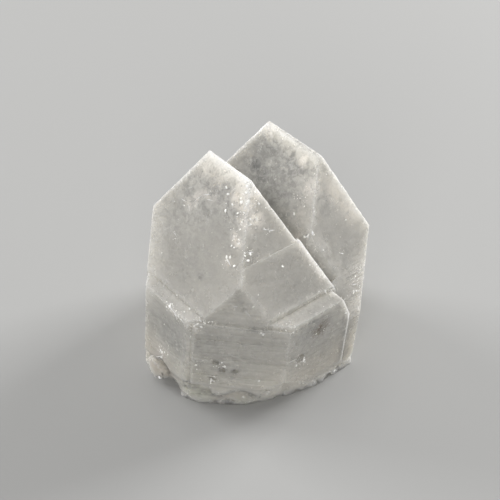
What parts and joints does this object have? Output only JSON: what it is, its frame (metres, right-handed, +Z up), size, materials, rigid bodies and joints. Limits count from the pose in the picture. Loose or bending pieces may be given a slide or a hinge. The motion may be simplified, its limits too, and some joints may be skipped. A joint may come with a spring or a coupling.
{
  "type": "apophyllite crystal specimen",
  "caption": "Free-standing display specimen of milky apophyllite: parallel pointed crystals grown side by side on a stout prism with a broken root.",
  "frame": {"origin": "on the ground under the middle of the outline, in the flat cut that the specimen stands on", "axes": "+Z up along the crystals' growth, which leans about four degrees towards +X; -Y is the viewer's side"},
  "size_m": [0.0374, 0.0368, 0.0393],
  "materials": {
    "milky_crystal": "milky translucent crystal, glassy faces with fine growth lines, sparkling edges and a dull broken root"
  },
  "bodies": {
    "root": {"crystal_cluster": "milky_crystal"}
  },
  "joints": []
}
